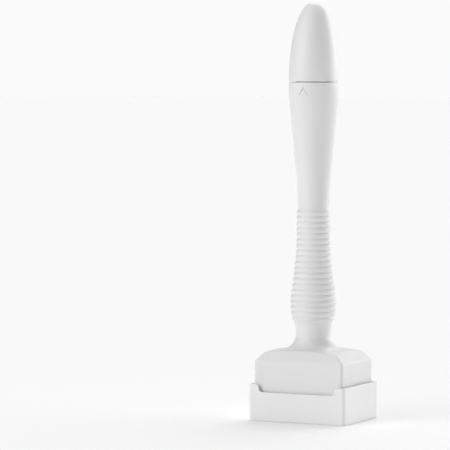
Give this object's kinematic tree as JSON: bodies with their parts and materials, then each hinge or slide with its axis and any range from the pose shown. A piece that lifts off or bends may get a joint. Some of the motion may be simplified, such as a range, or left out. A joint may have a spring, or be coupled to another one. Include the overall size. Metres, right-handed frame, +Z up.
{
  "type": "micro-needle derma stamp",
  "caption": "Hand-held micro-needle stamp with a bullet-shaped twist dial, ribbed grip, rectangular needle head and lift-off cap.",
  "frame": {"origin": "middle of the protective cap's underside, on the surface the stamp stands on", "axes": "+Z up along the handle towards the dial, X along the long side of the head, -Y towards the index mark"},
  "size_m": [0.0322, 0.0248, 0.1274],
  "materials": {
    "body_plastic": "satin moulded white",
    "dial_plastic": "satin moulded white",
    "cap_plastic": "satin moulded white",
    "inner_plastic": "natural moulded",
    "steel": "turned",
    "spring_steel": "drawn wire",
    "brass": "turned",
    "rubber": "moulded",
    "needle_metal": "ground titanium with a gold tone"
  },
  "bodies": {
    "cap": {"protective_cap": "cap_plastic"},
    "handle": {"handle_body": "body_plastic", "dial_bearing": "inner_plastic", "retaining_ring": "spring_steel", "friction_ring": "rubber", "thrust_washer": "steel", "stop_pin": "steel", "upper_bush": "brass", "lower_bush": "brass", "guide_plate": "inner_plastic", "guide_posts": "steel", "return_springs": "spring_steel"},
    "dial": {"dial_knob": "dial_plastic", "dial_hub": "inner_plastic", "cross_pin": "steel", "lead_screw": "steel", "screw_clip": "spring_steel"},
    "carriage": {"needle_carrier": "inner_plastic", "drive_nut": "brass", "backing_plate": "steel", "carrier_screws": "steel", "needles": "needle_metal"}
  },
  "joints": [
    {"name": "cap_lift", "type": "slide", "parent": "cap", "child": "handle", "axis": [0, 0, 1], "range_m": [0, 0.03]},
    {"name": "dial_turn", "type": "hinge", "parent": "handle", "child": "dial", "pos_m": [0, 0, 0.1035], "axis": [0, 0, 1], "range_deg": [0, 320]},
    {"name": "needle_feed", "type": "slide", "parent": "handle", "child": "carriage", "axis": [0, 0, -1], "range_m": [0, 0.0032], "deforming": ["return_springs"]}
  ],
  "couplings": [
    {"joint": "dial_turn", "follows": "needle_feed", "rad_per_m": 1745.3}
  ]
}
